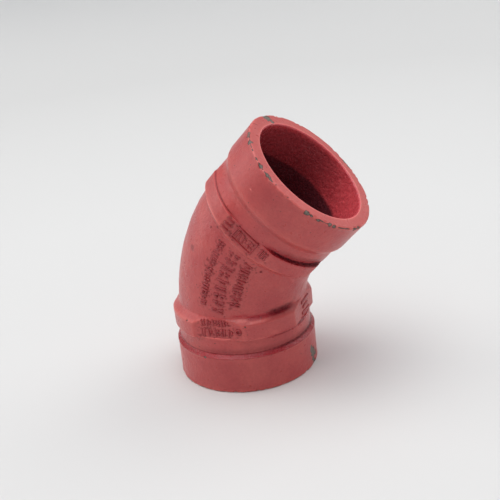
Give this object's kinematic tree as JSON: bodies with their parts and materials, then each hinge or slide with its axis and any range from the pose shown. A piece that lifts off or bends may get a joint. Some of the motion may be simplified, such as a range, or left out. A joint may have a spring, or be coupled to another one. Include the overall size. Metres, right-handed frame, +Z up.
{
  "type": "pipe elbow",
  "caption": "Short 45 degree cast pipe elbow with a grooved coupling end on each leg, square-sided collars and a red painted surface.",
  "frame": {"origin": "centre of the lower end face, where the lower waterway opens", "axes": "+Z up the lower end's axis into the bend, +X the way the elbow bends, Y across the bend plane with the marked side at -Y"},
  "size_m": [0.0876, 0.0604, 0.1089],
  "materials": {
    "red_enamel": "semi-gloss red enamel over rough sand-cast iron, chipped to grey-brown metal at a few edges",
    "red_enamel_marks": "the same red enamel, thinner and darker round the raised mould marks"
  },
  "bodies": {
    "root": {"lower_gasket_seat": "red_enamel", "lower_groove_neck": "red_enamel", "lower_collar": "red_enamel", "bend_body": "red_enamel", "upper_collar": "red_enamel", "upper_groove_neck": "red_enamel", "upper_gasket_seat": "red_enamel", "outer_mark_column": "red_enamel_marks", "middle_mark_column": "red_enamel_marks", "inner_mark_column": "red_enamel_marks", "lower_flat_marks": "red_enamel_marks", "upper_flat_marks": "red_enamel_marks", "inner_flat_marks": "red_enamel_marks"}
  },
  "joints": []
}
